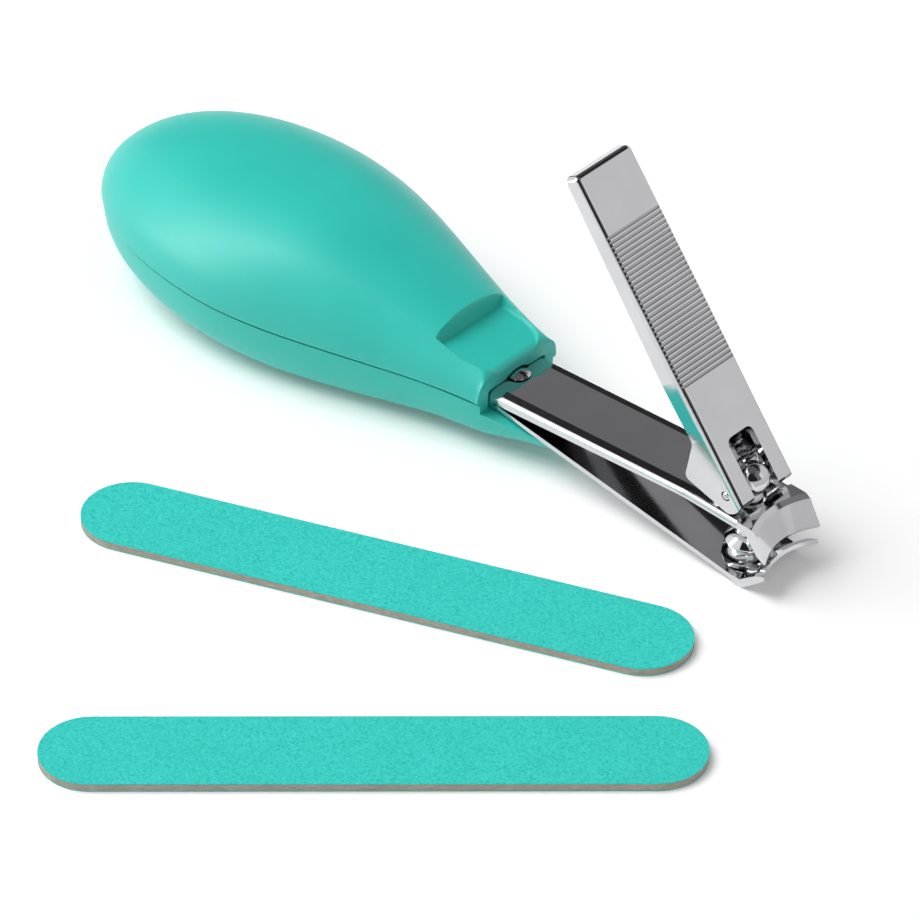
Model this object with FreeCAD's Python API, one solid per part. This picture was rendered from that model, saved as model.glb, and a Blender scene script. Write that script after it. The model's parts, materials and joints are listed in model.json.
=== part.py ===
"""Baby nail care set: an egg-handled nail clipper and two emery boards.

Millimetres, +Z up. The clipper is drawn level in its own frame, with its origin where the two arms part, the
seam of the handle at z = 0 and the jaws towards +X, and is then tilted to lie on its belly and its lower jaw.
"""
import math
import os

import FreeCAD
import Part
from FreeCAD import Vector

# Fits and cutting tools
cut_overrun = 4.0        # how far a cutting shape runs past the face it leaves
running_fit = 0.04       # radial room of a pin or post that turns
slip_gap = 0.15          # room between a steel arm and the moulding beside it
pivot_gap = 0.03         # room between the two arms at their tail
joint_tolerance = 1e-6   # two points nearer than this are one

# How the clipper lies
rest_pitch = 2.6         # degrees, nose down

# Steel arms
arm_width = 11.4
arm_thickness = 1.2
arm_bend_radius = 20.0
arm_edge_round = 0.7
arm_shoulder_run = 1.6   # of the sloping shoulder along each edge of the upper arm
arm_shoulder_angle = 7.0 # degrees
lower_arm_angle = 6.4    # degrees below the tail
lower_tail = 15.0        # behind the parting
upper_arm_angle = 5.8    # degrees above the tail
upper_tail = 11.0
upper_tail_thickness = 1.7  # the upper arm thins from there to where it turns level
upper_level_run = 34.0   # from the parting to where the upper arm turns level

# Jaws, along the middle of the clipper
jaw_root_run = 43.4      # from the parting to where the arms become jaws
jaw_root_overlap = 0.6
cut_run = 47.7           # from the parting to the middle of the cutting edges
bite_radius = 10.1       # the cutting edges are arcs, hollow towards the front
jaw_gap = 2.05           # between the cutting edges at rest
upper_cut_height = 0.05  # of the upper cutting edge over the tail
upper_jaw_lean = 2.0     # of the front face, from its top to the edge
upper_jaw_wall = 1.5
jaw_tip_thickness = 1.5
jaw_tip_depth = 0.75
edge_bevel_rise = 0.55
edge_bevel_run = 0.2
jaw_crown_round = 0.5
lower_knee_run = 0.7
lower_knee_drop = 1.4
lower_jaw_foot = 0.9     # of the flat foot in front of the jaw's root
lower_jaw_wall = 0.45

# Tail rivet
rivet_setback = 1.0      # behind the place where the arms part
rivet_radius = 1.25
rivet_head_radius = 1.7
rivet_head_height = 0.5
rivet_head_gap = 0.22    # lets the upper arm tilt under the head
rivet_hole_gap = 0.15
rivet_foot_height = 0.7

# Lever post
post_run = 41.5          # from the parting to the post's axis
post_radius = 1.8
post_hole_gap = 0.45     # lets the upper arm move past the post
post_foot_radius = 2.9
post_foot_height = 0.4
post_foot_gap = 0.08
post_foot_drop = 6.0     # of the foot's underside below the tail
post_collar_radius = 2.4
post_collar_height = 2.4
post_collar_drop = 4.3   # of the collar's underside below the tail
post_neck_radius = 1.3
post_neck_height = 0.9
post_shoulder_rise = 0.45  # of the shank above the upper arm
post_ball_radius = 2.3

# Lever and its cross pin
lever_length = 50.6
lever_width = 11.0
lever_sheet = 1.1
lever_bend_round = 0.8
lever_wall_depth = 3.2   # of the side walls, beside the ears
lever_tip_depth = 2.0    # of the side walls, at the tip
lever_angle = 50.3       # degrees above the tail, open
pin_radius = 0.7
pin_rise = 2.95          # of the pin's axis over the upper arm
pin_setback = 2.0        # of the pin's axis from the lever's front end
pin_depth = 1.85         # of the pin's axis below the lever's top
heel_angle = 30.0        # degrees round the pin, from the front end to the heel
toe_setback = 6.1
toe_depth = 7.9
toe_round = 0.9
ear_back_setback = 10.3
ear_back_round = 1.5
lever_tip_lean = 0.3     # of the end wall, from its foot to its top
lever_corner_round = 0.9
lever_wall_flare = 7.5   # degrees, of the side walls behind the ears
lever_flare_run = 9.0    # over which they come to that flare
slot_width = 5.0
slot_length = 8.8
slot_corner_round = 1.0
scoop_half_width = 3.0   # the scoop closes the slot from below, behind the post
scoop_run = 4.0          # of its tip, in front of the slot's rear end
scoop_drop = 3.4         # of its tip, below the lever's top
scoop_hollow = 0.6
groove_count = 33
groove_pitch_share = 0.01403  # of the lever's length
groove_width = 0.46
groove_depth = 0.22
groove_setback_share = 0.1917  # of the lever's length, from its tip to the first groove

# Handle
handle_length = 75.9     # from the rear end to the mouth
mouth_setback = 1.3      # of the mouth from the parting
handle_half_width = 18.4
handle_rise = 14.1       # of the back over the seam
handle_drop = 10.45      # of the belly under the seam
nose_half_width = 7.85
nose_rise = 5.95
nose_drop = 6.7
belly_share = 0.40       # of the length, from the rear end to the widest place
height_share = 0.52      # of the length, from the rear end to the highest place
side_taper_share = 0.50  # slope at the mouth against the mean slope of the front, seen from above
back_taper_share = 0.92  # the same, seen from the side
rear_power = 2.1         # of the rear end's curve, as the powers below
back_power = 2.2         # 2 is an ellipse, more is squarer
nose_power = 2.7
belly_power = 3.3
seam_step = 0.25         # the lower shell stands this far inside the upper one
shell_wall = 2.0
bulkhead_setback = 16.5  # of the solid nose's rear face from the mouth
tongue_length = 11.6     # of the lower shell in front of the mouth
tongue_half_width = 4.6
tongue_drop = 4.0
section_points = 16
rear_sections = 7
front_sections = 6
tongue_sections = 3

# Mouth and recess of the upper shell
tail_lift = 0.6          # room over the end of the upper arm's tail
mouth_half_width = 2.5   # of the arched notch over the rivet
mouth_rise = 2.65        # of the notch over the seam, in the middle
mouth_arch_radius = 3.8
mouth_depth = 3.0
recess_half_width = 6.3  # the recess is half round in front, with this radius
recess_round_setback = 4.7  # of that round's centre from the mouth
recess_length = 9.2
recess_front_rise = 4.45
recess_rear_rise = 5.0
recess_wall_lean = 0.7
recess_corner_round = 1.0
lip_rise = 4.6           # of the lip's upper edge over the seam
lip_angle = 24.0         # degrees, of the slope behind that edge

# Pegs between the shells
peg_radius = 1.2
peg_height = 3.0
peg_room = 0.4
boss_radius = 2.6
tail_peg_setback = 13.1  # of the peg through the lower arm, behind the parting
rear_boss_share = 0.852   # of the handle's length, behind the mouth
side_boss_share = 0.457   # of the handle's length, behind the mouth
side_boss_spread_share = 0.571  # of the handle's half width

# Emery boards
board_length = 89.0
board_width = 14.0
board_core = 1.0
board_sheet = 0.15
board_1_run = 8.35       # of its middle, in front of the parting
board_1_offset = 37.5    # of its middle, to the clipper's right
board_1_turn = 21.4      # degrees
board_2_run = 32.85
board_2_offset = 65.9
board_2_turn = 42.6

UP = Vector(0, 0, 1)
ACROSS = Vector(0, 1, 0)
AHEAD = Vector(1, 0, 0)


def unit(v):
    return v * (1 / v.Length)


def rounded_wire(points, rounds):
    """A closed wire in the XZ plane through the points, each corner rounded by its own radius."""
    corners = []
    for i, (x, z) in enumerate(points):
        here = Vector(x, 0, z)
        r = rounds[i]
        if r == 0:
            corners.append((here, None, here))
            continue
        before = points[i - 1]
        after = points[(i + 1) % len(points)]
        u = unit(Vector(before[0], 0, before[1]) - here)
        v = unit(Vector(after[0], 0, after[1]) - here)
        half = u.getAngle(v) / 2
        centre = here + unit(u + v) * (r / math.sin(half))
        reach = r / math.tan(half)
        corners.append((here + u * reach, centre + unit(here - centre) * r, here + v * reach))
    edges = []
    for i, (start, middle, end) in enumerate(corners):
        if middle is not None:
            edges.append(Part.Arc(start, middle, end).toShape())
        following = corners[(i + 1) % len(corners)][0]
        if (following - end).Length > joint_tolerance:
            edges.append(Part.LineSegment(end, following).toShape())
    return Part.Wire(edges)


def profile_solid(points, rounds, width):
    """The XZ outline, extruded over the width, half to each side."""
    face = Part.Face(rounded_wire(points, rounds))
    face.translate(ACROSS * (-width / 2))
    return face.extrude(ACROSS * width)


def block(x0, x1, y0, y1, z0, z1):
    return Part.makeBox(x1 - x0, y1 - y0, z1 - z0, Vector(x0, y0, z0))


def rod(x, y, z0, z1, radius):
    return Part.makeCylinder(radius, z1 - z0, Vector(x, y, z0), UP)


def cross_rod(x, z, half_length, radius):
    return Part.makeCylinder(radius, half_length * 2, Vector(x, -half_length, z), ACROSS)


def turned(points):
    """Revolve an outline of (radius, z) points round the Z axis."""
    wire = Part.makePolygon([Vector(r, 0, z) for r, z in points + points[:1]])
    return Part.Face(wire).revolve(Vector(0, 0, 0), UP, 360)


def tan_d(angle):
    return math.tan(math.radians(angle))


# Heights that several pieces share
arm_half = arm_width / 2
upper_seat = pivot_gap
upper_top = upper_seat + arm_thickness
tail_top = upper_seat + upper_tail_thickness
level_top = upper_top + upper_level_run * tan_d(upper_arm_angle)
level_under = level_top - arm_thickness
lower_cut_height = upper_cut_height - jaw_gap
bite_centre = cut_run + bite_radius
pin_height = level_top + pin_rise
mouth = -mouth_setback


def lower_arm_top(x):
    return -max(x, 0) * tan_d(lower_arm_angle)


def lower_arm_under(x):
    return lower_arm_top(x) - arm_thickness


def bite_ring(points):
    """A jaw: its outline at the middle of the clipper, swung round the centre of the bite."""
    half_angle = math.degrees(math.asin(arm_half / (bite_radius - edge_bevel_run))) + lower_arm_angle
    wire = Part.makePolygon([Vector(x, 0, z) for x, z in points + points[:1]])
    face = Part.Face(wire)
    pivot = Vector(bite_centre, 0, 0)
    face.rotate(pivot, UP, -half_angle)
    jaw = face.revolve(pivot, UP, 2 * half_angle)
    z_span = handle_rise + handle_drop
    return jaw.common(block(0, bite_centre, -arm_half, arm_half, -z_span, z_span))


def hollow_front(plate):
    """Trim an arm to the jaws' root, which follows the bite."""
    z_span = handle_rise + handle_drop
    return plate.cut(rod(bite_centre, 0, -z_span, z_span, bite_centre - jaw_root_run))


def round_long_edges(plate, outer_side, radius):
    """Round the two long outer edges of a bent strip."""
    picked = []
    for edge in plate.Edges:
        middle = edge.valueAt((edge.FirstParameter + edge.LastParameter) / 2)
        ends = [abs(abs(v.Point.y) - arm_half) for v in edge.Vertexes]
        if max(ends) < joint_tolerance and outer_side(middle):
            picked.append(edge)
    return plate.makeFillet(radius, picked)


def lower_arm():
    reach = bite_centre
    points = [
        (-lower_tail, 0), (0, 0), (reach, lower_arm_top(reach)),
        (reach, lower_arm_under(reach)), (0, -arm_thickness), (-lower_tail, -arm_thickness),
    ]
    bends = [0, arm_bend_radius, 0, 0, arm_bend_radius - arm_thickness, 0]
    plate = profile_solid(points, bends, arm_width)

    def underneath(p):
        return -lower_tail < p.x < reach and p.z < lower_arm_top(p.x) - arm_thickness / 2

    plate = hollow_front(round_long_edges(plate, underneath, arm_edge_round))
    back = jaw_root_run - jaw_root_overlap
    foot = jaw_root_run + lower_jaw_foot
    jaw = bite_ring([
        (back, lower_arm_top(back)),
        (jaw_root_run + lower_jaw_wall, lower_arm_top(jaw_root_run)),
        (cut_run - jaw_tip_thickness, lower_cut_height - jaw_tip_depth),
        (cut_run - edge_bevel_run, lower_cut_height),
        (cut_run, lower_cut_height - edge_bevel_rise),
        (cut_run - lower_knee_run, lower_cut_height - lower_knee_drop),
        (foot, lower_arm_under(jaw_root_run)),
        (back, lower_arm_under(back)),
    ])
    arm = plate.fuse(jaw)
    z_span = handle_rise + handle_drop
    foot_seat = post_foot_height + post_foot_gap - post_foot_drop
    holes = [
        rod(-rivet_setback, 0, -z_span, z_span, rivet_radius),
        rod(-rivet_setback, 0, -z_span, -arm_thickness, rivet_head_radius + slip_gap),
        rod(-tail_peg_setback, 0, -z_span, z_span, peg_radius + running_fit),
        rod(post_run, 0, -z_span, z_span, post_radius + running_fit),
        rod(post_run, 0, -z_span, foot_seat, post_foot_radius + post_foot_gap),
    ]
    return arm.cut(holes).removeSplitter()


def upper_arm():
    reach = bite_centre
    points = [
        (-upper_tail, tail_top), (0, tail_top), (upper_level_run, level_top), (reach, level_top),
        (reach, level_under), (upper_level_run, level_under), (0, upper_seat), (-upper_tail, upper_seat),
    ]
    inner = arm_bend_radius - arm_thickness
    bends = [0, inner, arm_bend_radius, 0, 0, inner, arm_bend_radius, 0]
    plate = profile_solid(points, bends, arm_width)
    # Each long edge has a shoulder that slopes down towards it.
    high = level_top + cut_overrun
    over = Part.Face(rounded_wire(points[:4] + [(reach, high), (-upper_tail, high)], bends[:4] + [0, 0]))
    run = arm_shoulder_run + cut_overrun
    for side in (1, -1):
        cutter = over.extrude(Vector(0, side * run, -run * tan_d(arm_shoulder_angle)))
        cutter.translate(ACROSS * side * (arm_half - arm_shoulder_run))
        plate = plate.cut(cutter)

    def on_top(p):
        run = min(max(p.x, 0), upper_level_run)
        middle = upper_seat + run * tan_d(upper_arm_angle) + arm_thickness / 2
        return -upper_tail < p.x < reach and p.z > middle

    plate = hollow_front(round_long_edges(plate, on_top, arm_edge_round))
    back = jaw_root_run - jaw_root_overlap
    front = cut_run - upper_jaw_lean
    jaw = bite_ring([
        (back, level_top),
        (front - jaw_crown_round, level_top),
        (front + jaw_crown_round * upper_jaw_lean / level_top, level_top - jaw_crown_round),
        (cut_run, upper_cut_height + edge_bevel_rise),
        (cut_run - edge_bevel_run, upper_cut_height),
        (cut_run - jaw_tip_thickness, upper_cut_height + jaw_tip_depth),
        (front - upper_jaw_wall, level_under),
        (back, level_under),
    ])
    arm = plate.fuse(jaw)
    z_span = handle_rise + handle_drop
    holes = [
        rod(-rivet_setback, 0, -z_span, z_span, rivet_radius + rivet_hole_gap),
        rod(post_run, 0, -z_span, z_span, post_radius + post_hole_gap),
    ]
    return arm.cut(holes).removeSplitter()


def dome(radius, height, base, direction):
    """A round rivet head on a base height, bulging along the direction (1 up, -1 down)."""
    ball = (radius * radius + height * height) / (2 * height)
    centre = base + direction * (height - ball)
    head = Part.makeSphere(ball, Vector(0, 0, centre))
    z0 = min(base, base + direction * height)
    return head.common(rod(0, 0, z0, z0 + height, radius + ball))


def tail_rivet():
    head_base = tail_top + rivet_head_gap
    shank = rod(0, 0, -arm_thickness, head_base, rivet_radius)
    head = dome(rivet_head_radius, rivet_head_height, head_base, 1)
    foot = dome(rivet_head_radius, rivet_foot_height, -arm_thickness, -1)
    rivet = shank.fuse([head, foot]).removeSplitter()
    rivet.translate(AHEAD * -rivet_setback)
    return rivet


def lever_post():
    shoulder = level_top + post_shoulder_rise
    foot_top = post_foot_height - post_foot_drop
    collar_base = -post_collar_drop
    collar_top = collar_base + post_collar_height
    crown = post_collar_radius - post_radius
    body = turned([
        (0, -post_foot_drop), (post_foot_radius, -post_foot_drop), (post_foot_radius, foot_top),
        (post_radius, foot_top), (post_radius, collar_base), (post_collar_radius, collar_base),
        (post_collar_radius, collar_top - crown), (post_radius, collar_top), (post_radius, shoulder),
        (post_neck_radius, shoulder + post_neck_height), (post_neck_radius, pin_height), (0, pin_height),
    ])
    ball = Part.makeSphere(post_ball_radius, Vector(0, 0, pin_height))
    post = body.fuse(ball)
    post.translate(AHEAD * post_run)
    bore = cross_rod(post_run, pin_height, post_ball_radius + cut_overrun, pin_radius + running_fit)
    return post.cut(bore).removeSplitter()


def lever_pin():
    return cross_rod(post_run, pin_height, lever_width / 2, pin_radius)


def flared_bar(half, top, front, rear):
    """A bar along X whose sides stand upright at the ears and flare out behind them.

    Half is its half width at z = 0.
    """
    deep = toe_depth + cut_overrun
    flare_end = -ear_back_setback - lever_flare_run
    sections = []
    for x, flare in (
        (front, 0), (-ear_back_setback, 0), (flare_end, lever_wall_flare), (rear, lever_wall_flare),
    ):
        head = half - top * tan_d(flare)
        foot = half + deep * tan_d(flare)
        ring = [(-head, top), (head, top), (foot, -deep), (-foot, -deep)]
        sections.append(Part.makePolygon([Vector(x, y, z) for y, z in ring + ring[:1]]))
    return Part.makeLoft(sections, True, True)


def lever():
    """Drawn with its front end at the origin, its length along -X and its top at z = 0."""
    half = lever_width / 2
    ear_radius = math.hypot(pin_setback, pin_depth)
    heel = math.radians(heel_angle)
    heel_point = (-(pin_setback - ear_radius * math.cos(heel)), -(pin_depth + ear_radius * math.sin(heel)))
    nose_point = (-(pin_setback - ear_radius), -pin_depth)
    outline = [
        Part.Arc(Vector(0, 0, 0), Vector(nose_point[0], 0, nose_point[1]),
                 Vector(heel_point[0], 0, heel_point[1])).toShape(),
    ]
    corners = [
        heel_point, (-toe_setback, -toe_depth), (-ear_back_setback, -lever_wall_depth),
        (-lever_length, -lever_tip_depth), (lever_tip_lean - lever_length, 0), (0, 0),
    ]
    rounds = [0, toe_round, ear_back_round, 0, 0, 0]
    for edge in rounded_wire(corners, rounds).Edges:
        ends = [v.Point for v in edge.Vertexes]
        off_heel = [math.hypot(p.x - heel_point[0], p.z - heel_point[1]) for p in ends]
        chord = all(min(abs(p.x), off) < joint_tolerance for p, off in zip(ends, off_heel))
        if not chord:
            outline.append(edge)
    face = Part.Face(Part.Wire(Part.__sortEdges__(outline)))
    face.translate(ACROSS * -lever_width)
    body = face.extrude(ACROSS * 2 * lever_width)
    body = body.common(flared_bar(half, cut_overrun, cut_overrun, -lever_length - cut_overrun))
    picked = []
    for edge in body.Edges:
        ends = [v.Point for v in edge.Vertexes]
        at_tip = max(p.x for p in ends) < lever_tip_lean - lever_length + joint_tolerance
        if at_tip and abs(ends[0].z - ends[-1].z) > joint_tolerance:
            picked.append(edge)
    body = body.makeFillet(lever_corner_round, picked)
    picked = []
    for edge in body.Edges:
        ends = [v.Point for v in edge.Vertexes]
        on_top = max(abs(p.z) for p in ends) < joint_tolerance
        at_front = max(abs(p.x) for p in ends) < joint_tolerance
        if on_top and not at_front:
            picked.append(edge)
    body = body.makeFillet(lever_bend_round, picked)
    deep = toe_depth + cut_overrun
    hollow = flared_bar(half - lever_sheet, -lever_sheet, cut_overrun, lever_sheet - lever_length)
    slot_half = slot_width / 2
    slot = block(-slot_length, cut_overrun, -slot_half, slot_half, -deep, cut_overrun)
    rear_edges = []
    for edge in slot.Edges:
        ends = [v.Point for v in edge.Vertexes]
        at_rear = max(abs(p.x + slot_length) for p in ends) < joint_tolerance
        if at_rear and abs(ends[0].z - ends[-1].z) > slot_width:
            rear_edges.append(edge)
    slot = slot.makeFillet(slot_corner_round, rear_edges)
    tools = [hollow, slot, cross_rod(-pin_setback, -pin_depth, half + cut_overrun, pin_radius + running_fit)]
    for i in range(groove_count):
        x = (groove_setback_share + i * groove_pitch_share - 1) * lever_length
        cutter = Part.makePolygon([
            Vector(x - groove_width / 2, -half, 0), Vector(x, -half, -groove_depth),
            Vector(x + groove_width / 2, -half, 0), Vector(x, -half, groove_depth),
            Vector(x - groove_width / 2, -half, 0),
        ])
        tools.append(Part.Face(cutter).extrude(ACROSS * lever_width))
    body = body.cut(tools)
    # The scoop leaves the sheet behind the slot and runs down under it, hollow towards the top.
    root = Vector(-slot_length - lever_sheet, -scoop_half_width, -lever_sheet / 2)
    tip = Vector(scoop_run - slot_length, -scoop_half_width, -scoop_drop)
    along = unit(tip - root)
    below = Vector(along.z, 0, -along.x)
    middle = (root + tip) * 0.5 + below * scoop_hollow
    thick = below * lever_sheet
    scoop = Part.Face(Part.Wire([
        Part.Arc(root, middle, tip).toShape(),
        Part.LineSegment(tip, tip + thick).toShape(),
        Part.Arc(tip + thick, middle + thick, root + thick).toShape(),
        Part.LineSegment(root + thick, root).toShape(),
    ])).extrude(ACROSS * 2 * scoop_half_width)
    body = body.fuse(scoop).removeSplitter()
    body.rotate(Vector(-pin_setback, 0, -pin_depth), ACROSS, lever_angle)
    body.translate(Vector(post_run + pin_setback, 0, pin_height + pin_depth))
    return body


def egg(share, belly, nose, most_share, taper_share):
    """A half width, rise or drop of the handle at a share of its length, from the rear end."""
    if share <= most_share:
        back = 1 - share / most_share
        return belly * max(1 - back ** rear_power, 0) ** (1 / rear_power)
    w = (share - most_share) / (1 - most_share)
    fall = (3 - taper_share) * w ** 2 + (taper_share - 2) * w ** 3
    return belly - (belly - nose) * fall


def half_section(x, half_width, height, power, side):
    """Half a superellipse across the handle, closed along the seam. Side is 1 above and -1 below."""
    points = []
    for i in range(section_points + 1):
        turn = math.pi * i / section_points
        y = half_width * math.copysign(abs(math.cos(turn)) ** (2 / power), math.cos(turn))
        z = 0 if i in (0, section_points) else side * height * math.sin(turn) ** (2 / power)
        points.append(Vector(x, y, z))
    curve = Part.BSplineCurve()
    curve.interpolate(points)
    return Part.Wire([curve.toShape(), Part.LineSegment(points[-1], points[0]).toShape()])


def egg_half(side, inset, front, with_tongue):
    """The upper or lower half of the egg, drawn in by the inset, up to the front station."""
    rear = mouth - handle_length
    turns = [math.pi / 2 * i / rear_sections for i in range(1, rear_sections + 1)]
    shares = [belly_share * (1 - math.cos(turn)) for turn in turns]
    shares += [belly_share + (1 - belly_share) * i / front_sections for i in range(1, front_sections + 1)]
    step = 0 if side > 0 else seam_step
    tip = rear + step + inset
    profiles = [Part.Vertex(tip, 0, 0)]
    for share in shares:
        x = tip + share * (mouth - tip)
        half_width = egg(share, handle_half_width, nose_half_width, belly_share, side_taper_share)
        half_width -= step + inset * min(share / belly_share, 1)
        front_part = max((share - belly_share) / (1 - belly_share), 0)
        if side > 0:
            height = egg(share, handle_rise, nose_rise, height_share, back_taper_share)
            power = back_power + (nose_power - back_power) * front_part ** 2
        else:
            height = egg(share, handle_drop, nose_drop, height_share, back_taper_share)
            power = belly_power
        height -= inset * min(share / belly_share, 1)
        profiles.append(half_section(x, half_width, height, power, side))
    if with_tongue:
        for i in range(1, tongue_sections + 1):
            part = i / tongue_sections
            half_width = (nose_half_width - step) * (1 - part) + tongue_half_width * part
            height = nose_drop * (1 - part) + tongue_drop * part
            profiles.append(half_section(mouth + tongue_length * part, half_width, height, belly_power, side))
    solid = Part.makeLoft(profiles, True, False)
    span = handle_half_width + cut_overrun
    return solid.common(block(rear - cut_overrun, front, -span, span, -span, span))


rear_boss = mouth - rear_boss_share * handle_length
side_boss = mouth - side_boss_share * handle_length
side_boss_spread = side_boss_spread_share * handle_half_width
boss_places = [(rear_boss, 0), (side_boss, side_boss_spread), (side_boss, -side_boss_spread)]


def upper_shell():
    outer = egg_half(1, 0, mouth, False)
    shell = outer.cut(egg_half(1, shell_wall, mouth - bulkhead_setback, False))
    top = handle_rise + cut_overrun
    bosses = [rod(x, y, 0, top, boss_radius).common(outer) for x, y in boss_places]
    shell = shell.fuse(bosses)
    channel = arm_half + slip_gap
    front = mouth + cut_overrun
    socket = peg_height + peg_room
    tools = [rod(x, y, -cut_overrun, socket, peg_radius + running_fit) for x, y in boss_places]
    tools.append(rod(-tail_peg_setback, 0, -cut_overrun, socket, peg_radius + running_fit))
    tail_end = -upper_tail - slip_gap - tail_lift
    channel_view = [
        (tail_end, -cut_overrun), (tail_end, tail_top + tail_lift), (mouth, tail_top + slip_gap),
        (front, tail_top + slip_gap), (front, -cut_overrun),
    ]
    tools.append(profile_solid(channel_view, [0, 0, 0, 0, 0], 2 * channel))
    arch_centre = Vector(mouth - mouth_depth, 0, mouth_rise - mouth_arch_radius)
    arch = Part.makeCylinder(mouth_arch_radius, mouth_depth + cut_overrun, arch_centre, AHEAD)
    arch_room = block(mouth - mouth_depth, front, -mouth_half_width, mouth_half_width, -cut_overrun, top)
    tools.append(arch.common(arch_room))
    # The recess takes the tip of the lever when it is folded back along the arms.
    lean = recess_wall_lean
    slope = (recess_rear_rise - recess_front_rise) / recess_length
    side_view = [
        (front, recess_front_rise - slope * cut_overrun), (mouth - recess_length, recess_rear_rise),
        (mouth - recess_length - lean, top), (front, top),
    ]
    dish = profile_solid(side_view, [0, 0, 0, 0], 2 * recess_half_width)
    round_centre = mouth - recess_round_setback
    plan = block(mouth - recess_length - lean, round_centre, -recess_half_width, recess_half_width, 0, top)
    rear_edges = []
    for edge in plan.Edges:
        ends = [v.Point for v in edge.Vertexes]
        if max(abs(p.x - mouth + recess_length + lean) for p in ends) < joint_tolerance:
            if abs(ends[0].z - ends[-1].z) > joint_tolerance:
                rear_edges.append(edge)
    plan = plan.makeFillet(recess_corner_round, rear_edges)
    tools.append(dish.common(plan.fuse(rod(round_centre, 0, 0, top, recess_half_width))))
    slant = tan_d(lip_angle)
    lip_view = [
        (front, lip_rise - slant * cut_overrun), (mouth - (top - lip_rise) / slant, top), (front, top),
    ]
    tools.append(profile_solid(lip_view, [0, 0, 0], 2 * handle_half_width))
    return shell.cut(tools).removeSplitter()


def lower_shell():
    front = mouth + tongue_length
    outer = egg_half(-1, 0, front, True)
    shell = outer.cut(egg_half(-1, shell_wall, mouth - bulkhead_setback, False))
    deep = handle_drop + cut_overrun
    bosses = [rod(x, y, -deep, 0, boss_radius).common(outer) for x, y in boss_places]
    shell = shell.fuse(bosses)
    channel = arm_half + slip_gap
    span = handle_half_width + cut_overrun
    reach = front + cut_overrun
    under = -arm_thickness - slip_gap
    over_view = [
        (mouth, cut_overrun), (mouth, under), (0, under),
        (reach, lower_arm_under(reach) - slip_gap), (reach, cut_overrun),
    ]
    over_tongue = profile_solid(over_view, [0, 0, 0, 0, 0], 2 * span)
    tools = [
        over_tongue,
        block(-lower_tail - slip_gap, mouth + slip_gap, -channel, channel, -arm_thickness, cut_overrun),
        rod(-rivet_setback, 0, -arm_thickness - rivet_foot_height - slip_gap, cut_overrun,
            rivet_head_radius + slip_gap),
    ]
    shell = shell.cut(tools)
    pegs = [rod(x, y, -peg_radius, peg_height, peg_radius) for x, y in boss_places]
    pegs.append(rod(-tail_peg_setback, 0, -arm_thickness - peg_radius, peg_height, peg_radius))
    return shell.fuse(pegs).removeSplitter()


def stadium(length, width, thickness, base):
    straight = (length - width) / 2
    half = width / 2
    near_left = Vector(-straight, -half, base)
    near_right = Vector(straight, -half, base)
    far_right = Vector(straight, half, base)
    far_left = Vector(-straight, half, base)
    edges = [
        Part.LineSegment(near_left, near_right).toShape(),
        Part.Arc(near_right, Vector(straight + half, 0, base), far_right).toShape(),
        Part.LineSegment(far_right, far_left).toShape(),
        Part.Arc(far_left, Vector(-straight - half, 0, base), near_left).toShape(),
    ]
    return Part.Face(Part.Wire(edges)).extrude(UP * thickness)


def board(number, run, offset, turn):
    layers = {
        "bottom_sheet": (0, board_sheet),
        "core": (board_sheet, board_core),
        "top_sheet": (board_sheet + board_core, board_sheet),
    }
    made = {}
    for layer, (base, thickness) in layers.items():
        solid = stadium(board_length, board_width, thickness, base)
        solid.rotate(Vector(0, 0, 0), UP, turn)
        solid.translate(Vector(run, -offset, 0))
        made["file_%d_%s" % (number, layer)] = solid
    return made


clipper = {
    "handle_upper_shell": upper_shell(),
    "handle_lower_shell": lower_shell(),
    "lower_arm": lower_arm(),
    "upper_arm": upper_arm(),
    "tail_rivet": tail_rivet(),
    "lever_post": lever_post(),
    "lever_pin": lever_pin(),
    "lever": lever(),
}
marks = {
    "parting": Vector(0, 0, 0),
    "pin": Vector(post_run, 0, pin_height),
    "post_foot": Vector(post_run, 0, -post_foot_drop),
}

# Tilt the clipper, stand its lower jaw on z = 0 and cut its belly flat there.
for solid in clipper.values():
    solid.rotate(Vector(0, 0, 0), ACROSS, rest_pitch)
turn = FreeCAD.Rotation(ACROSS, rest_pitch)
marks = {name: turn.multVec(point) for name, point in marks.items()}
lift = -clipper["lower_arm"].optimalBoundingBox(False, False).ZMin
for solid in clipper.values():
    solid.translate(UP * lift)
marks = {name: point + UP * lift for name, point in marks.items()}
span = handle_length + handle_half_width
below = block(-2 * span, span, -span, span, -span, 0)
clipper["handle_lower_shell"] = clipper["handle_lower_shell"].cut(below)

parts = dict(clipper)
parts.update(board(1, board_1_run, board_1_offset, board_1_turn))
parts.update(board(2, board_2_run, board_2_offset, board_2_turn))

# The origin is the middle of the whole set's box, on the table.
box = Part.makeCompound(list(parts.values())).optimalBoundingBox(False, False)
shift = Vector(-box.Center.x, -box.Center.y, -box.ZMin)
os.makedirs("parts", exist_ok=True)
for name, solid in parts.items():
    solid.translate(shift)
    if not solid.isValid() or len(solid.Solids) != 1:
        print("check", name, "valid", solid.isValid(), "solids", len(solid.Solids))
    if solid.ShapeType != "Solid":
        solid = solid.Solids[0] if len(solid.Solids) == 1 else solid
    solid.exportStep("parts/%s.step" % name)
for name, point in marks.items():
    place = point + shift
    print("mark %s %.4f %.4f %.4f" % (name, place.x, place.y, place.z))
print("box %.3f %.3f %.3f" % (box.XLength, box.YLength, box.ZLength))
print("shift %.4f %.4f %.4f" % tuple(shift), "lift %.4f" % lift)
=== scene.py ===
"""Looks, light and camera for the nail care set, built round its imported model."""

import json
import math

import bmesh
import bpy
from mathutils import Matrix, Vector


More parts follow.
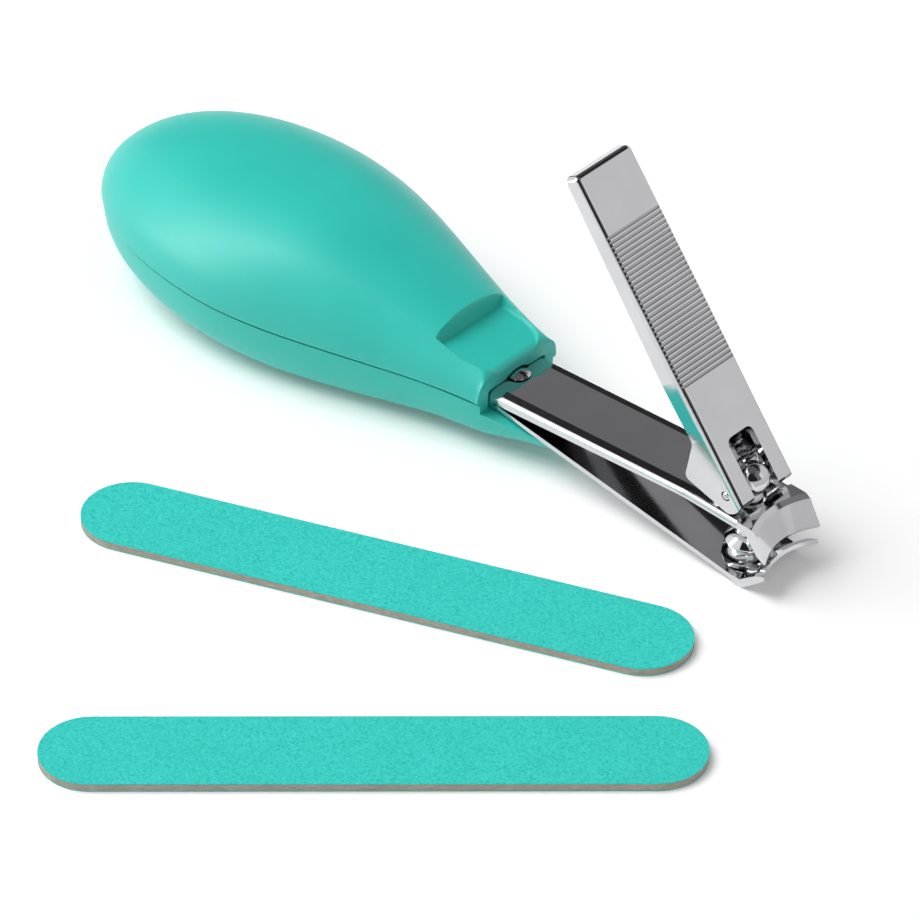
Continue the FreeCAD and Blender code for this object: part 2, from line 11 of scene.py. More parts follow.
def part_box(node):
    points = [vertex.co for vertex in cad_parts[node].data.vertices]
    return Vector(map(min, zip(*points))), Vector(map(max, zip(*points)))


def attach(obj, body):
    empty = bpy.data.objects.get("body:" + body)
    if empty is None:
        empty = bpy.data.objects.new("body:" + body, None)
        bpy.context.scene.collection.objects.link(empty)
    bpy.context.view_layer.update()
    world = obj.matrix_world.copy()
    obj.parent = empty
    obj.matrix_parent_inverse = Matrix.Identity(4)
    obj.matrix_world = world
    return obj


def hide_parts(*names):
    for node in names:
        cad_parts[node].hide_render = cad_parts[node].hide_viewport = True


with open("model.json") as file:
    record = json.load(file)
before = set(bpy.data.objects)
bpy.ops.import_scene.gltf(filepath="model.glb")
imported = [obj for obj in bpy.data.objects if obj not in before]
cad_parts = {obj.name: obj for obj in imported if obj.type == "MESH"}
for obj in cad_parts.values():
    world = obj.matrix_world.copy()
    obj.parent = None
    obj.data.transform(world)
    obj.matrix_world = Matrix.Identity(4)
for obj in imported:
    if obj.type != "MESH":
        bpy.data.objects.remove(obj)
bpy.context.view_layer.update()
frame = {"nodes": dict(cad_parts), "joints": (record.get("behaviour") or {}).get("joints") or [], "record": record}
nodes = frame["nodes"]
joints = {j["name"]: j for j in frame["joints"]}
MM = 0.001

# The clipper's own axes: its origin is where the arms part, and it lies a little nose down.
parting = Vector(joints["jaw_close"]["pos_m"])
clip_up = Vector(joints["lever_swivel"]["axis"]).normalized()
across = Vector((0, 1, 0))
ahead = across.cross(clip_up)
pin_centre = Vector(joints["lever_fold"]["pos_m"])


def place(x, y, z):
    """A point of the clipper's own axes, in millimetres, as a point of the scene, in metres."""
    return parting + (ahead * x + across * y + clip_up * z) * MM


def added(name, data):
    """A new object of the scene."""
    made = bpy.data.objects.new(name, data)
    bpy.context.scene.collection.objects.link(made)
    return made


# Materials

white = (1.0, 1.0, 1.0)
black = (0.0, 0.0, 0.0)
plastic_deep = (0.017, 0.560, 0.476)
plastic_light = (0.023, 0.600, 0.512)
steel_deep = (0.64, 0.64, 0.65)
steel_light = (0.69, 0.69, 0.70)
grit_deep = (0.018, 0.487, 0.433)
grit_middle = (0.041, 0.631, 0.562)
grit_light = (0.054, 0.685, 0.610)
grit_spark = (0.099, 0.770, 0.695)
grit_patch = (0.92, 0.95, 0.95)
card_deep = (0.330, 0.300, 0.250)
card_middle = (0.480, 0.445, 0.380)
card_light = (0.620, 0.585, 0.510)
card_blotch = (0.80, 0.79, 0.77)


def node(tree, kind, inputs=None, **settings):
    """A new node, with its settings and the constants of its inputs."""
    made = tree.nodes.new(kind)
    for key, value in settings.items():
        setattr(made, key, value)
    for key, value in (inputs or {}).items():
        made.inputs[key].default_value = value
    return made


def empty_material(name):
    made = bpy.data.materials.new(name)
    made.use_nodes = True
    made.node_tree.nodes.clear()
    return made


def show(tree, shader):
    """Puts the shader on the output of its material."""
    out = node(tree, "ShaderNodeOutputMaterial")
    tree.links.new(shader.outputs[0], out.inputs["Surface"])


def material(name):
    """A new material, its node tree and its shader."""
    made = empty_material(name)
    tree = made.node_tree
    shader = node(tree, "ShaderNodeBsdfPrincipled")
    show(tree, shader)
    return made, tree, shader


def noise(tree, where, scale=1.0, detail=2.0, rough=0.5, stretch=None):
    """A noise pattern in object space, with scale in repeats per metre, stretched by axis."""
    vector = where.outputs["Object"]
    if stretch:
        mapping = node(tree, "ShaderNodeMapping", {"Scale": stretch})
        tree.links.new(vector, mapping.inputs["Vector"])
        vector = mapping.outputs["Vector"]
    made = node(tree, "ShaderNodeTexNoise", {"Scale": scale, "Detail": detail, "Roughness": rough})
    tree.links.new(vector, made.inputs["Vector"])
    return made.outputs["Fac"]


def ramp(tree, value, stops):
    """Colours by that value, from stops (value, colour)."""
    made = node(tree, "ShaderNodeValToRGB")
    elements = made.color_ramp.elements
    while len(elements) < len(stops):
        elements.new(0.5)
    for element, (at, colour) in zip(elements, stops):
        element.position = at
        element.color = (*colour, 1)
    tree.links.new(value, made.inputs["Fac"])
    return made.outputs["Color"]


def span(tree, value, low, high):
    """The value, brought from between 0 and 1 to between low and high."""
    made = node(tree, "ShaderNodeMapRange", {"To Min": low, "To Max": high})
    tree.links.new(value, made.inputs["Value"])
    return made.outputs["Result"]


def bump(tree, height, strength, distance, under=None):
    """A surface normal bent by that height, on top of another normal."""
    made = node(tree, "ShaderNodeBump", {"Strength": strength, "Distance": distance})
    tree.links.new(height, made.inputs["Height"])
    if under:
        tree.links.new(under, made.inputs["Normal"])
    return made.outputs["Normal"]


def multiplied(tree, colour, tint, factor):
    made = node(tree, "ShaderNodeMix", data_type="RGBA", blend_type="MULTIPLY")
    made.inputs["Factor"].default_value = factor
    tree.links.new(colour, made.inputs["A"])
    tree.links.new(tint, made.inputs["B"])
    return made.outputs["Result"]


def plastic_material():
    made, tree, shader = material("turquoise_plastic")
    where = node(tree, "ShaderNodeTexCoord")
    cloud = noise(tree, where, scale=60.0, detail=3.0)
    colour = ramp(tree, cloud, [(0.3, plastic_deep), (0.7, plastic_light)])
    tree.links.new(colour, shader.inputs["Base Color"])
    patch = noise(tree, where, scale=900.0, detail=3.0)
    tree.links.new(span(tree, patch, low=0.38, high=0.46), shader.inputs["Roughness"])
    fine = noise(tree, where, scale=9000.0)
    broad = noise(tree, where, scale=260.0)
    normal = bump(tree, fine, strength=0.10, distance=0.02 * MM)
    normal = bump(tree, broad, strength=0.05, distance=0.06 * MM, under=normal)
    tree.links.new(normal, shader.inputs["Normal"])
    shader.inputs["IOR"].default_value = 1.52
    shader.inputs["Sheen Weight"].default_value = 0.1
    shader.inputs["Sheen Roughness"].default_value = 0.5
    shader.inputs["Subsurface Weight"].default_value = 0.06
    shader.inputs["Subsurface Radius"].default_value = (0.0006, 0.0012, 0.0011)
    return made


def steel_material():
    made, tree, shader = material("bright_steel")
    where = node(tree, "ShaderNodeTexCoord")
    cloud = noise(tree, where, scale=140.0, detail=3.0)
    colour = ramp(tree, cloud, [(0.3, steel_deep), (0.7, steel_light)])
    tree.links.new(colour, shader.inputs["Base Color"])
    shader.inputs["Metallic"].default_value = 1.0
    wipe = noise(tree, where, scale=420.0, detail=4.0)
    tree.links.new(span(tree, wipe, low=0.05, high=0.12), shader.inputs["Roughness"])
    scratch = noise(tree, where, detail=3.0, stretch=(300.0, 5200.0, 5200.0))
    normal = bump(tree, scratch, strength=0.035, distance=0.02 * MM)
    tree.links.new(normal, shader.inputs["Normal"])
    return made


def grit_material():
    made, tree, shader = material("turquoise_grit")
    where = node(tree, "ShaderNodeTexCoord")
    grains = node(tree, "ShaderNodeTexVoronoi", {"Scale": 5200.0, "Randomness": 1.0})
    tree.links.new(where.outputs["Object"], grains.inputs["Vector"])
    clumps = noise(tree, where, scale=2600.0, detail=3.0, rough=0.65)
    patches = noise(tree, where, scale=110.0, detail=3.0)
    stops = [(0.30, grit_deep), (0.46, grit_middle), (0.60, grit_light), (0.78, grit_spark)]
    speck = ramp(tree, clumps, stops)
    tint = ramp(tree, patches, [(0.35, grit_patch), (0.65, white)])
    colour = multiplied(tree, speck, tint, factor=0.5)
    tree.links.new(colour, shader.inputs["Base Color"])
    shader.inputs["Roughness"].default_value = 0.85
    shader.inputs["Specular IOR Level"].default_value = 0.25
    normal = bump(tree, grains.outputs["Distance"], strength=0.35, distance=0.12 * MM)
    normal = bump(tree, clumps, strength=0.45, distance=0.16 * MM, under=normal)
    tree.links.new(normal, shader.inputs["Normal"])
    return made


def card_material():
    made, tree, shader = material("board_card")
    where = node(tree, "ShaderNodeTexCoord")
    fibres = noise(tree, where, detail=4.0, rough=0.6, stretch=(700.0, 700.0, 9000.0))
    blotch = noise(tree, where, scale=500.0, detail=3.0)
    base = ramp(tree, fibres, [(0.30, card_deep), (0.52, card_middle), (0.75, card_light)])
    tint = ramp(tree, blotch, [(0.3, card_blotch), (0.7, white)])
    colour = multiplied(tree, base, tint, factor=0.6)
    tree.links.new(colour, shader.inputs["Base Color"])
    shader.inputs["Roughness"].default_value = 0.9
    shader.inputs["Specular IOR Level"].default_value = 0.2
    normal = bump(tree, fibres, strength=0.4, distance=0.08 * MM)
    tree.links.new(normal, shader.inputs["Normal"])
    return made


plastic = plastic_material()
steel = steel_material()
looks = {
    "handle_plastic": plastic,
    "bright_steel": steel,
    "abrasive_sheet": grit_material(),
    "board_core": card_material(),
}


def dress(obj, look):
    obj.data.materials.clear()
    obj.data.materials.append(look)


for part in frame["record"]["subparts"]:
    dress(nodes[part["node"]], looks[part["material_slot"]])

# Rolled edges of the stamped steel

roll_width = 0.22        # millimetres
roll_steps = 3
roll_from = 50           # degrees: flatter edges stay as they are

for name in ("upper_arm", "lower_arm"):
    rolled = nodes[name].modifiers.new("rolled_edges", "BEVEL")
    rolled.width = roll_width * MM
    rolled.segments = roll_steps
    rolled.limit_method = "ANGLE"
    rolled.angle_limit = math.radians(roll_from)

# Shapes that the pieces below share

sharp_from = 42          # degrees: sharper edges are not shaded smooth


def bridged(bm, loops):
    """Faces between each closed loop of points and the next one."""
    count = len(loops[0])
    for one, two in zip(loops, loops[1:]):
        for i in range(count):
            j = (i + 1) % count
            bm.faces.new((one[i], one[j], two[j], two[i]))


def finished(bm, name, sharp_angle):
    """The mesh as a smooth object of the scene, with edges over that angle, in degrees, kept sharp."""
    bmesh.ops.recalc_face_normals(bm, faces=bm.faces)
    mesh = bpy.data.meshes.new(name)
    bm.to_mesh(mesh)
    bm.free()
    mesh.shade_smooth()
    mesh.set_sharp_from_angle(angle=math.radians(sharp_angle))
    return added(name, mesh)


def arc(centre, radius, first, last, steps):
    """Points (along, out) of a round stretch, by degrees from straight out."""
    points = []
    for i in range(steps + 1):
        a = math.radians(first + (last - first) * i / steps)
        points.append((centre[0] + radius * math.sin(a), centre[1] + radius * math.cos(a)))
    return points


def lathe(name, centre, axis, outline, around):
    """A turned piece. Its outline is points (along, out) in millimetres, from one end to the other."""
    side = axis.orthogonal().normalized()
    other = axis.cross(side)
    angles = [2 * math.pi * k / around for k in range(around)]
    spokes = [side * math.cos(a) + other * math.sin(a) for a in angles]
    bm = bmesh.new()
    rings = []
    for along, out in outline:
        middle = centre + axis * (along * MM)
        rings.append([bm.verts.new(middle + spoke * (out * MM)) for spoke in spokes])
    bridged(bm, rings)
    bm.faces.new(rings[0])
    bm.faces.new(rings[-1])
    return finished(bm, name, sharp_from)


def lower_of(a, b, soft):
    """The lower of two heights, blended where they are nearly the same."""
    mix = max(soft - abs(a - b), 0) / soft
    return min(a, b) - mix * mix * soft / 4


def upper_of(a, b, soft):
    return -lower_of(-a, -b, soft)


# Upper shell of the handle, in millimetres of the clipper's own axes

mouth = -1.3             # its front end
handle_length = 75.9
belly_share = 0.40       # place of the greatest width, from the tail
belly_half = 18.4
mouth_half = 7.85
width_taper = 0.50       # slope left at the mouth, as a share of the mean slope
crest_share = 0.52       # place of the greatest height, from the tail
crest_height = 14.1
mouth_height = 5.95
height_taper = 0.92
tail_power = 2.1         # of the round tail
belly_power = 2.2        # of the outline across the handle
mouth_squarer = 0.5      # added to it at the mouth
lip_round = 1.0
lip_side_share = 0.35    # of that round, at the sides
rim_round = 0.12

nose_end = -14.0         # the back is plain behind this
slope_height = 4.6       # of the slope that rises from the lip
slope_rise = 0.45
slope_blend = 0.6
dish_height = 4.45       # of its floor at the lip
dish_rise = 0.105
dish_centre = -6.0       # of its round front
dish_radius = 6.3
dish_wall = 2.2          # slope of its sides
dish_blend = 0.9
dish_back = -10.4        # its back wall
dish_back_height = 5.3
dish_back_wall = 8.0
dish_back_blend = 0.8
dish_edge_blend = 0.28

groove_rise = 0.26       # of the seam groove
groove_inset = 0.6
groove_wall = 0.1        # left between the groove and the tunnel
groove_least = 0.25
edge_round = 0.35
edge_height = 5.0        # where the back is lower, the seam is finer
tunnel_half = 5.85
tunnel_most = 0.97       # of the width inside the groove
tunnel_rise = 1.80       # at the mouth
tunnel_slope = 0.043     # it grows higher towards the back
tunnel_power = 16        # squares its corners
tunnel_end = -16.0
tunnel_back = 0.05       # run of its end wall
notch_rise = 2.65        # over the rivet
notch_radius = 3.8
notch_depth = 3.0
notch_blend = 0.3

across_points = 120
round_steps = 6
tail_rows = 30
belly_rows = 26
lip_rows = 8
coarse_row = 0.5
fine_row = 0.15
fine_from = -13.0        # rows are closer ahead of this
row_slack = 0.001        # keeps two rows from falling on one place


def egg(share, belly, front, most_share, taper):
    """A half width or height at a share of the length: round behind its greatest, tapered ahead."""
    if share <= most_share:
        back = 1 - share / most_share
        return belly * max(1 - back ** tail_power, 0) ** (1 / tail_power)
    w = (share - most_share) / (1 - most_share)
    return belly - (belly - front) * ((3 - taper) * w ** 2 + (taper - 2) * w ** 3)


def nose_height(x, y, z):
    """The height of the back, with the slope to the lip and the dish behind it taken off."""
    if x < nose_end:
        return z
    back = mouth - x
    z = lower_of(z, slope_height + slope_rise * back, slope_blend)
    floor = dish_height + dish_rise * back
    side = (math.hypot(x - dish_centre, y) if x > dish_centre else abs(y)) - dish_radius
    dish = upper_of(floor, floor + side * dish_wall, dish_blend)
    dish = upper_of(dish, dish_back_height + (dish_back - x) * dish_back_wall, dish_back_blend)
    return lower_of(z, dish, dish_edge_blend)


def nose_section(x):
    """The back's outline across the handle at x, from seam to seam, and the seam's size."""
    share = 1 - (mouth - x) / handle_length
    half = egg(share, belly_half, mouth_half, belly_share, width_taper)
    height = egg(share, crest_height, mouth_height, crest_share, height_taper)
    front_part = max((share - belly_share) / (1 - belly_share), 0)
    power = belly_power + mouth_squarer * front_part ** 2
    shrink = min(1, height / edge_height)
    foot = (groove_rise + edge_round) * shrink
    first = math.asin((foot / height) ** (power / 2))
    ring = []
    for i in range(across_points + 1):
        angle = first + (math.pi - 2 * first) * i / across_points
        y = half * math.copysign(abs(math.cos(angle)) ** (2 / power), math.cos(angle))
        z = height * math.sin(angle) ** (2 / power)
        ring.append((y, nose_height(x, y, z)))
    return ring, shrink


def drawn_in(ring, by):
    """The outline moved inwards, square to itself, and less at the sides than on top."""
    if by == 0:
        return ring
    moved = []
    for i, (y, z) in enumerate(ring):
        before = ring[max(i - 1, 0)]
        after = ring[min(i + 1, len(ring) - 1)]
        run = after[0] - before[0]
        rise = after[1] - before[1]
        long = math.hypot(run, rise)
        much = by * (lip_side_share + (1 - lip_side_share) * (run / long) ** 2)
        moved.append((y + rise / long * much, z + run / long * much))
    return moved


def seam(point, side, shrink, tunnel_more):
    """The rounded seam edge under that point of the back, and the groove inside it."""
    outer = abs(point[0])
    edge = edge_round * shrink
    points = []
    for i in range(1, round_steps + 1):
        a = math.pi / 2 * i / round_steps
        points.append((side * (outer - edge * (1 - math.cos(a))), point[1] - edge * math.sin(a)))
    room = outer - tunnel_half - tunnel_more - groove_wall
    inset = max(min(groove_inset * shrink, room), groove_least * shrink + edge)
    points.append((side * (outer - inset), groove_rise * shrink))
    points.append((side * (outer - inset), 0))
    return points


def tunnel_roof(x, half, tunnel_more):
    """The tunnel for the arms, from side to side, with the notch over the rivet."""
    high = 0
    if x >= tunnel_end:
        high = tunnel_rise + tunnel_slope * (mouth - x)
    points = []
    for i in range(across_points + 1):
        part = math.sin(math.pi * (i / across_points - 0.5))
        y = part * half
        z = high * max(1 - abs(part) ** tunnel_power, 0) ** (1 / tunnel_power)
        if x > mouth - notch_depth and abs(y) < notch_radius:
            notch = notch_rise - notch_radius + math.sqrt(notch_radius ** 2 - y * y)
            z = upper_of(z, notch, notch_blend)
        points.append((y, z + tunnel_more if 0 < i < across_points else 0))
    return points


def shell_loop(x, by, tunnel_more):
    """One closed loop of the shell: back, seam edge and groove, tunnel, and the other seam edge."""
    ring, shrink = nose_section(min(x, mouth))
    ring = drawn_in(ring, by)
    left = seam(ring[0], 1, shrink, tunnel_more)
    right = seam(ring[-1], -1, shrink, tunnel_more)
    half = min(tunnel_half + tunnel_more, abs(left[-1][0]) * tunnel_most)
    return ring, right, tunnel_roof(x, half, tunnel_more), left[::-1]


def shell_rows():
    """Rows from tail to mouth: place, draw of the lip on the back, and widening of the tunnel."""
    rows = []
    for i in range(1, tail_rows + 1):
        share = belly_share * (1 - math.cos(math.pi / 2 * i / tail_rows))
        rows.append((mouth - handle_length * (1 - share), 0, 0))
    start = rows[-1][0]
    for i in range(1, belly_rows + 1):
        rows.append((start + (tunnel_end - tunnel_back - start) * i / belly_rows, 0, 0))
    x = tunnel_end
    while x < mouth - lip_round - row_slack:
        rows.append((x, 0, 0))
        x += coarse_row if x < fine_from else fine_row
    for i in range(lip_rows + 1):
        a = math.pi / 2 * i / lip_rows
        x = mouth - lip_round + lip_round * math.sin(a)
        out = max(x - mouth + rim_round, 0) / rim_round
        widening = rim_round * (1 - math.sqrt(max(1 - out * out, 0)))
        rows.append((x, lip_round * (1 - math.cos(a)), widening))
    return rows


def upper_shell():
    """The shell's back, seam and tunnel as one closed skin."""
    bm = bmesh.new()
    loops = []
    for x, by, tunnel_more in shell_rows():
        pieces = shell_loop(x, by, tunnel_more)
        loops.append([[bm.verts.new(place(x, y, z)) for y, z in piece] for piece in pieces])
    whole = [sum(pieces, []) for pieces in loops]
    bridged(bm, whole)
    bm.faces.new(whole[0])
    ring, right, tunnel, left = loops[-1]
    for i in range(across_points):
        j = across_points - i
        bm.faces.new((ring[i], ring[i + 1], tunnel[j - 1], tunnel[j]))
    bm.faces.new([ring[-1]] + right + [tunnel[0]])
    bm.faces.new([tunnel[-1]] + left + [ring[0]])
    return finished(bm, "handle_upper_skin", sharp_from)


# Cross pin and post, in millimetres

dome_depth = 0.45        # of each dome's foot inside the pin's end
dome_height = 0.55
dome_flat = 0.35         # radius of its flat middle, as a share of the pin's
dome_steps = 8
pin_around = 40

foot_radius = 2.9
foot_height = 0.4
foot_drop = 6.0          # of its underside, below the parting
axis_radius = 0.1        # of the small face that closes the foot
shank_radius = 1.8
shank_top = 5.13
neck_radius = 1.3
neck_rise = 6.03
ball_radius = 2.5
ball_end = 88            # degrees
ball_steps = 24
skirt_radius = 4.8
skirt_drop = 4.63        # of its edge, on the lower arm
skirt_edge = 0.01
skirt_power = 2.4        # of its hollow side
skirt_steps = 12
waist_radius = 2.2       # under the bead
waist_drop = 3.5
bead_radius = 3.2
bead_drop = 2.85         # of its widest place
bead_round = 0.3         # of its lower edge
bead_steps = 8
bead_crown = 3.67        # radius of its top
crown_gap = 1            # degree, between that round and the top
crown_steps = 16
post_around = 72


def domed_pin():
    """The cross pin, with its two ends peened into low domes."""
    low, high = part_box("lever_pin")
    radius = (high[2] - low[2]) / MM / 2
    root = (high[1] - low[1]) / MM / 2 - dome_depth
    dome = [(root, radius)]
    for i in range(1, dome_steps + 1):
        a = math.pi / 2 * i / dome_steps
        out = radius * (dome_flat + (1 - dome_flat) * math.cos(a))
        dome.append((root + dome_height * math.sin(a), out))
    other_dome = [(-along, out) for along, out in dome[::-1]]
    return lathe("lever_pin_domed", pin_centre, across, other_dome + dome, pin_around)


def turned_post():
    """The post, from its foot up: skirt on the lower arm, bead, shank, neck and ball."""
    run = (pin_centre - parting).dot(ahead) / MM
    ball = (pin_centre - parting).dot(clip_up) / MM
    foot_top = foot_height - foot_drop
    skirt_under = -skirt_drop - skirt_edge
    outline = [
        (-foot_drop, axis_radius),
        (-foot_drop, foot_radius),
        (foot_top, foot_radius),
        (foot_top, shank_radius),
        (skirt_under, shank_radius),
        (skirt_under, skirt_radius),
    ]
    for i in range(skirt_steps + 1):
        t = i / skirt_steps
        rise = (skirt_drop - waist_drop) * t ** skirt_power
        outline.append((rise - skirt_drop, skirt_radius + (waist_radius - skirt_radius) * t))
    inner = bead_radius - bead_round
    start = math.degrees(math.acos(inner / (bead_crown - bead_round)))
    end = math.degrees(math.acos(shank_radius / bead_crown))
    crown_drop = bead_drop + (bead_crown - bead_round) * math.sin(math.radians(start))
    outline += arc((-bead_drop, inner), bead_round, -90, start, bead_steps)
    outline += arc((-crown_drop, 0), bead_crown, start + crown_gap, end, crown_steps)
    outline += [(shank_top, shank_radius), (neck_rise, neck_radius)]
    ball_start = math.degrees(math.asin(neck_radius / ball_radius)) - 90
    outline += arc((ball, 0), ball_radius, ball_start, ball_end, ball_steps)
    return lathe("lever_post_turned", place(run, 0, 0), clip_up, outline, post_around)


# Scoop in the lever's slot, in millimetres of the lever's own plane

lever_angle = math.radians(50.3)      # down towards its front end
lever_front = 2.0        # of its front end from the pin
lever_top = 1.85         # of its top over the pin
lever_along = ahead * math.cos(lever_angle) - clip_up * math.sin(lever_angle)
lever_above = ahead * math.sin(lever_angle) + clip_up * math.cos(lever_angle)
scoop_root = Vector((-9.9, -0.62))
scoop_tip = Vector((-4.75, -3.32))
scoop_half = 4.3
scoop_notch = 1.95       # half of the gap that clears the post
scoop_sheet = 0.3
scoop_lift = 0.06        # over the plain scoop
scoop_hollow = 0.6
scoop_sharp_from = 60    # degrees
scoop_lip_bend = Vector((0.45, -0.12))  # from the tip, like the next three
scoop_lip_end = Vector((0.6, -1.08))
scoop_wing_bend = Vector((0.45, -0.88))
scoop_wing_end = Vector((2.55, -1.28))
scoop_dish_steps = 16
scoop_lip_steps = 6
scoop_wing_steps = 10


def lever_place(x, y, z):
    """A point beside the lever: x along its top from the front end, z above its top."""
    away = lever_along * (x + lever_front) + across * y + lever_above * (z + lever_top)
    return pin_centre + away * MM


def bent(first, middle, last, steps):
    """Points of a smooth bend between two ends, drawn towards a middle point."""
    shares = [i / steps for i in range(steps + 1)]
    return [first * (1 - t) ** 2 + middle * (2 * t * (1 - t)) + last * t ** 2 for t in shares]


def strip(bm, line, low, high):
    """A closed band of sheet along a line of the lever's own plane, from one side to the other."""
    rows = []
    for i, point in enumerate(line):
        slope = (line[min(i + 1, len(line) - 1)] - line[max(i - 1, 0)]).normalized()
        normal = Vector((-slope.y, slope.x))
        top = point + normal * scoop_lift
        under = point - normal * scoop_sheet
        corners = ((top, low), (top, high), (under, high), (under, low))
        rows.append([bm.verts.new(lever_place(spot.x, y, spot.y)) for spot, y in corners])
    bridged(bm, rows)
    bm.faces.new(rows[0])
    bm.faces.new(rows[-1])


def slot_scoop():
    """The dished plate that is seen through the lever's slot, with a notch that clears the post."""
    down = Vector((scoop_tip.y - scoop_root.y, scoop_root.x - scoop_tip.x)).normalized()
    middle = (scoop_root + scoop_tip) / 2 + down * (2 * scoop_hollow)
    lip_end = scoop_tip + scoop_lip_end
    wing_end = scoop_tip + scoop_wing_end
    dish = bent(scoop_root, middle, scoop_tip, scoop_dish_steps)
    lip = bent(scoop_tip, scoop_tip + scoop_lip_bend, lip_end, scoop_lip_steps)
    wing = bent(scoop_tip, scoop_tip + scoop_wing_bend, wing_end, scoop_wing_steps)
    bm = bmesh.new()
    strip(bm, dish + lip[1:], -scoop_notch, scoop_notch)
    strip(bm, dish + wing[1:], scoop_notch, scoop_half)
    strip(bm, dish + wing[1:], -scoop_half, -scoop_notch)
    return finished(bm, "lever_scoop_plate", scoop_sharp_from)


# Pieces of the scene on their bodies

skin = upper_shell()
dress(skin, plastic)
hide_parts("handle_upper_shell")
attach(skin, "clipper_base")

pin = domed_pin()
dress(pin, steel)
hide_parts("lever_pin")
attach(pin, "cross_pin")

post = turned_post()
dress(post, steel)
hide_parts("lever_post")
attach(post, "post")

scoop = slot_scoop()
dress(scoop, steel)
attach(scoop, "press_lever")

# Camera, in metres and degrees

camera_elevation = 37.5
camera_distance = 1.0261
camera_turn = 42.5       # from the clipper's length to the picture's right
camera_lens = 287.94     # millimetres, like its sensor
camera_sensor = 36.0
camera_near = 0.05
camera_far = 40.0
aim_offset = Vector((-0.002426, -0.010457, 0))   # from the parting

aim = parting + aim_offset
aim.z = 0
turn = math.radians(camera_turn)
tilt = math.radians(camera_elevation)
picture_right = Vector((math.cos(turn), math.sin(turn), 0))
towards = Vector((math.sin(turn) * math.cos(tilt), -math.cos(turn) * math.cos(tilt), math.sin(tilt)))
picture_up = towards.cross(picture_right)
camera = bpy.data.cameras.new("camera")
camera.lens = camera_lens
camera.sensor_width = camera_sensor
camera.clip_start = camera_near
camera.clip_end = camera_far
view = added("camera", camera)
view.matrix_world = Matrix((picture_right, picture_up, towards)).transposed().to_4x4()
view.location = aim + towards * camera_distance
bpy.context.scene.camera = view

# Studio, in metres and degrees

ambient_level = 0.34
backdrop_level = 1.0
floor_reach = 6.0
floor_drop = 0.00002
floor_glow = 0.08
screen_distance = 3.0
screen_columns = 16
screen_rows = 6
card_blue = 1.02         # cards are a little bluer than white


def direction(azimuth, elevation):
    """A unit vector by degrees: azimuth 0 is away from the camera, 90 is the picture's right."""
    a = math.radians(azimuth)
    e = math.radians(elevation)
    away = Vector((-towards.x, -towards.y, 0)).normalized()
    level = away * (math.cos(a) * math.cos(e)) + picture_right * (math.sin(a) * math.cos(e))
    return level + Vector((0, 0, math.sin(e)))


def lamp(name, azimuth, elevation, distance, size, power):
    """A square lamp that points at the set."""
    light = bpy.data.lights.new(name, "AREA")
    light.shape = "RECTANGLE"
    light.size = size
    light.size_y = size
    light.energy = power
    made = added(name, light)
    made.location = aim + direction(azimuth, elevation) * distance
    made.rotation_euler = (aim - made.location).to_track_quat("-Z", "Y").to_euler()
    return made


key = lamp("key", azimuth=-80, elevation=56, distance=1.6, size=1.2, power=22.5)
key.visible_glossy = False
lamp("fill", azimuth=120, elevation=40, distance=2.0, size=1.6, power=1.4)


def by_ray(tree, lighting, seen):
    """One shader for the rays that light the set, and another for what is seen or mirrored."""
    paths = node(tree, "ShaderNodeLightPath")
    direct = node(tree, "ShaderNodeMath", operation="MAXIMUM")
    tree.links.new(paths.outputs["Is Camera Ray"], direct.inputs[0])
    tree.links.new(paths.outputs["Is Glossy Ray"], direct.inputs[1])
    every = node(tree, "ShaderNodeMath", operation="MAXIMUM")
    tree.links.new(direct.outputs[0], every.inputs[0])
    tree.links.new(paths.outputs["Is Transmission Ray"], every.inputs[1])
    made = node(tree, "ShaderNodeMixShader")
    tree.links.new(every.outputs[0], made.inputs["Fac"])
    tree.links.new(lighting.outputs[0], made.inputs[1])
    tree.links.new(seen.outputs[0], made.inputs[2])
    return made


world = bpy.data.worlds.new("studio")
bpy.context.scene.world = world
world.use_nodes = True
sky = world.node_tree
sky.nodes.clear()
ambient = node(sky, "ShaderNodeBackground", {"Color": (*white, 1), "Strength": ambient_level})
backdrop = node(sky, "ShaderNodeBackground", {"Color": (*white, 1), "Strength": backdrop_level})
sky_out = node(sky, "ShaderNodeOutputWorld")
sky.links.new(by_ray(sky, ambient, backdrop).outputs[0], sky_out.inputs["Surface"])


def sheet(name, points, faces, look):
    """A plain object of the studio."""
    mesh = bpy.data.meshes.new(name)
    mesh.from_pydata(points, [], faces)
    mesh.materials.append(look)
    return added(name, mesh)


def floor_material():
    """White, with a little light of its own where it is seen, so that only the shadows show on it."""
    made = empty_material("floor_white")
    tree = made.node_tree
    matt = node(tree, "ShaderNodeBsdfDiffuse", {"Color": (*white, 1)})
    glow = node(tree, "ShaderNodeEmission", {"Color": (*white, 1), "Strength": floor_glow})
    dark = node(tree, "ShaderNodeEmission", {"Color": (*black, 1), "Strength": 0.0})
    both = node(tree, "ShaderNodeAddShader")
    tree.links.new(matt.outputs[0], both.inputs[0])
    tree.links.new(by_ray(tree, dark, glow).outputs[0], both.inputs[1])
    show(tree, both)
    return made


floor_sides = ((-1, -1), (1, -1), (1, 1), (-1, 1))
floor_corners = [(x * floor_reach, y * floor_reach, 0) for x, y in floor_sides]
floor = sheet("floor", floor_corners, [(0, 1, 2, 3)], floor_material())
floor.location = (aim.x, aim.y, -floor_drop)


def mirrored_card(name, points, faces, level):
    """A plain card that only the bright metal mirrors."""
    look = empty_material(name)
    tree = look.node_tree
    colour = (level, level, level * card_blue, 1)
    show(tree, node(tree, "ShaderNodeEmission", {"Color": colour, "Strength": 1.0}))
    card = sheet(name, points, faces, look)
    card.visible_camera = False
    card.visible_diffuse = False
    card.visible_shadow = False
    card.visible_transmission = False


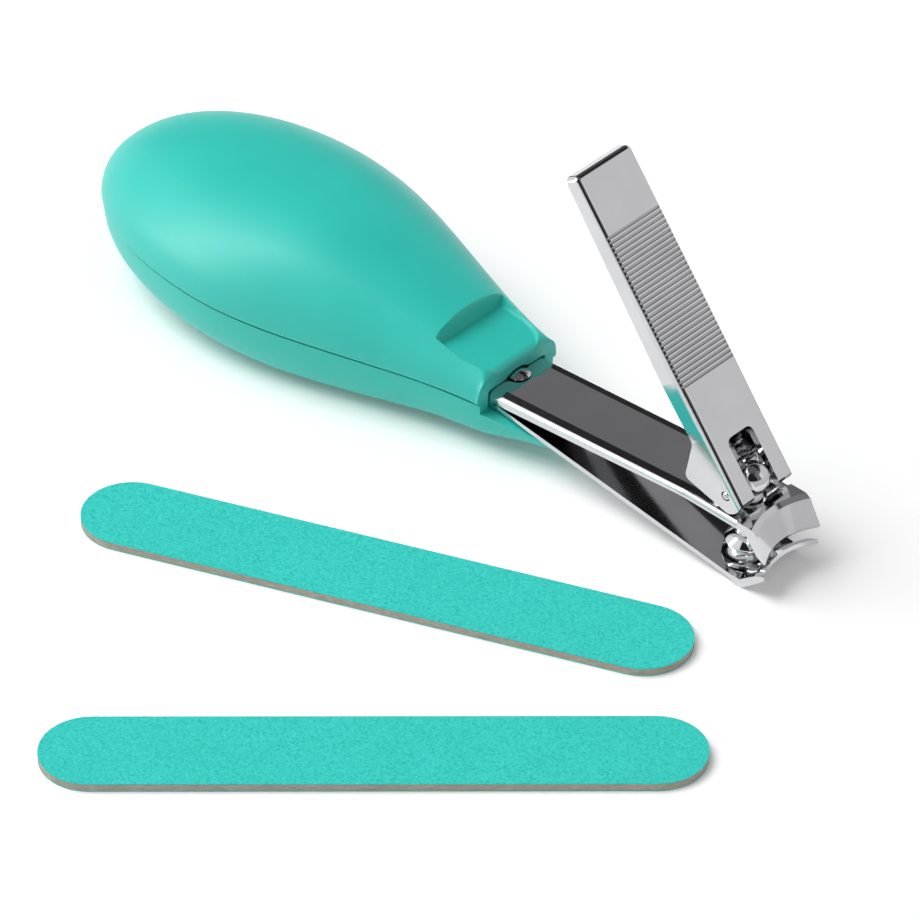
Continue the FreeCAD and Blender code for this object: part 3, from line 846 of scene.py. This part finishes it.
def screen(name, azimuths, elevations, level):
    """A card far round the set, from one azimuth to another and from one elevation to another."""
    points = []
    for r in range(screen_rows + 1):
        elevation = elevations[0] + (elevations[1] - elevations[0]) * r / screen_rows
        for c in range(screen_columns + 1):
            azimuth = azimuths[0] + (azimuths[1] - azimuths[0]) * c / screen_columns
            points.append(aim + direction(azimuth, elevation) * screen_distance)
    wide = screen_columns + 1
    faces = []
    for r in range(screen_rows):
        for c in range(screen_columns):
            corner = r * wide + c
            faces.append((corner, corner + 1, corner + wide + 1, corner + wide))
    mirrored_card(name, points, faces, level)


def shaded_floor_card(name, corners, level):
    """A grey card on the floor that only reflections show: painted shade of the floor."""
    mirrored_card(name, corners, [tuple(range(len(corners)))], level)


screen("card_far", (-45, 45), (28, 42), 0.19)
screen("card_far_low", (-26, 20), (-1, 28), 0.03)
screen("card_right_low", (20, 45), (-1, 28), 0.66)
screen("card_over", (-50, 60), (42, 66), 0.02)
screen("card_top", (-180, 180), (66, 89), 0.12)
screen("card_right", (45, 116), (-1, 42), 0.74)
screen("card_right_over", (60, 116), (42, 66), 0.07)
screen("card_front", (116, 215), (14, 66), 0.02)
screen("card_front_low", (116, 200), (-1, 14), 0.66)
screen("card_left", (-104, -88), (0, 62), 9.0)
screen("card_left_over", (-160, -50), (62, 66), 0.22)

# Painted shade of the floor, seen only in reflections: a grey card beyond the arms, and one in front of the jaws
# and to their right

far_start = 0.014        # ahead of the parting
far_end = 0.050
far_near = 0.008         # to its side
far_wide = 0.075
far_lift = 0.0004
far_sides = ((far_start, far_near), (far_end, far_near), (far_end, far_wide), (far_start, far_wide))
far_corners = [(parting.x + x, parting.y + y, far_lift) for x, y in far_sides]
# painted shade: the floor beyond the arms, where the clipper shades it, shows grey in the metal's reflections
shaded_floor_card("floor_shade_far", far_corners, 0.4)

jaw_run = 0.05           # of the jaws, ahead of the parting
jaws = parting + Vector((jaw_run, 0, -parting.z))
fan_azimuths = range(20, 176, 5)
fan_outer = 2.9
fan_inner = 0.03
fan_lift = Vector((0, 0, 0.0002))
fan = [jaws + direction(azimuth, 0) * fan_outer + fan_lift for azimuth in fan_azimuths]
fan += [jaws + direction(azimuth, 0) * fan_inner + fan_lift for azimuth in reversed(fan_azimuths)]
# painted shade: the floor in front of the jaws and to their right shows grey in the metal's reflections
shaded_floor_card("floor_shade_right", fan, 0.66)

bpy.context.scene.view_settings.view_transform = "Standard"
